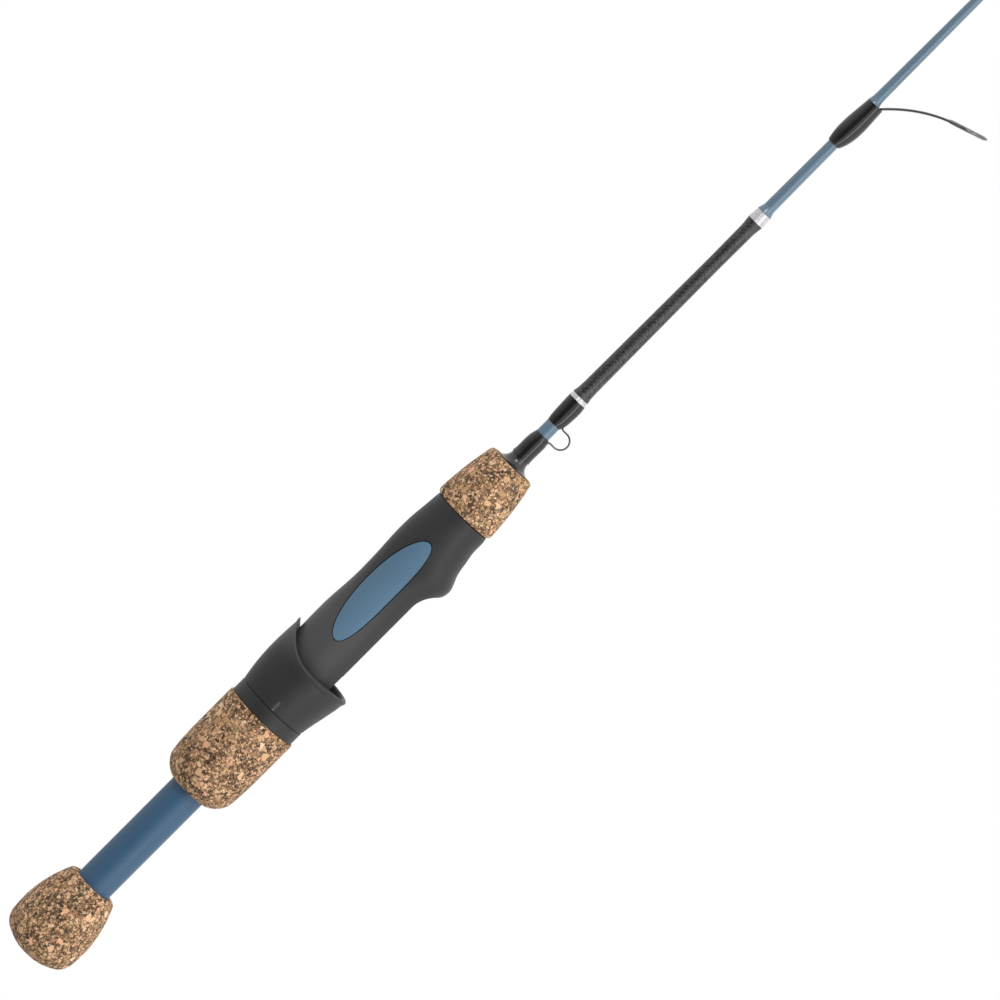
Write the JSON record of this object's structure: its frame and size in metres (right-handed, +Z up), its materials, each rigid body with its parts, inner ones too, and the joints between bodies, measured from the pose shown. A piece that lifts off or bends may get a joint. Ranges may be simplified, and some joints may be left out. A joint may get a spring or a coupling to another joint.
{
  "type": "ice fishing rod",
  "caption": "Short spinning rod with a split cork handle, up-locking reel seat with sliding hood and lock nut, hook keeper, carbon sleeve and wire line guides.",
  "frame": {"origin": "centre of the butt knob's end face, on the rod's axis", "axes": "+X along the rod towards the tip, +Z up, with the reel bed and the line guides hanging towards -Z"},
  "size_m": [0.711, 0.0292, 0.0464],
  "materials": {
    "cork": "composite cork in tan, brown and dark granules, sanded and sealed",
    "tube_lacquer": "satin slate-blue lacquer",
    "blank_lacquer": "clear-coated light slate blue",
    "seat_black": "fine-textured satin black",
    "inlay_blue": "soft-touch slate blue",
    "check_rubber": "gloss black",
    "wrap_black": "black thread under gloss epoxy",
    "guide_metal": "dark polished wire",
    "ring_liner": "polished hard liner",
    "bright_trim": "bright silver thread under epoxy",
    "carbon_weave": "woven carbon under satin resin",
    "arbor_foam": "rigid foam"
  },
  "bodies": {
    "rod": {"butt_knob": "cork", "fore_grip": "cork", "handle_tube": "tube_lacquer", "rod_blank": "blank_lacquer", "reel_seat": "seat_black", "inlay_left": "inlay_blue", "inlay_right": "inlay_blue", "winding_check": "check_rubber", "keeper_wrap_rear": "wrap_black", "keeper_wrap_front": "wrap_black", "hook_keeper": "guide_metal", "trim_band_rear": "bright_trim", "trim_band_front": "bright_trim", "carbon_sleeve": "carbon_weave", "tube_arbor": "arbor_foam", "seat_arbor_rear": "arbor_foam", "seat_arbor_front": "arbor_foam", "tip_top_wrap": "wrap_black", "tip_top_frame": "guide_metal", "tip_top_ring": "ring_liner", "guide_1_frame": "guide_metal", "guide_1_ring": "ring_liner", "guide_1_wrap": "wrap_black", "guide_2_frame": "guide_metal", "guide_2_ring": "ring_liner", "guide_2_wrap": "wrap_black", "guide_3_frame": "guide_metal", "guide_3_ring": "ring_liner", "guide_3_wrap": "wrap_black", "guide_4_frame": "guide_metal", "guide_4_ring": "ring_liner", "guide_4_wrap": "wrap_black", "guide_5_frame": "guide_metal", "guide_5_ring": "ring_liner", "guide_5_wrap": "wrap_black"},
    "hood": {"sliding_hood": "seat_black", "slip_washer": "seat_black"},
    "nut": {"lock_nut": "seat_black", "rear_grip": "cork"}
  },
  "joints": [
    {"name": "hood_slide", "type": "slide", "parent": "rod", "child": "hood", "axis": [1, 0, 0], "range_m": [-0.0101, 0.0051]},
    {"name": "nut_turn", "type": "hinge", "parent": "hood", "child": "nut", "pos_m": [0.1, 0, 0], "axis": [1, 0, 0], "range_deg": [-1440, 720]}
  ],
  "couplings": [
    {"joint": "hood_slide", "follows": "nut_turn", "m_per_rad": 0.00039789}
  ]
}
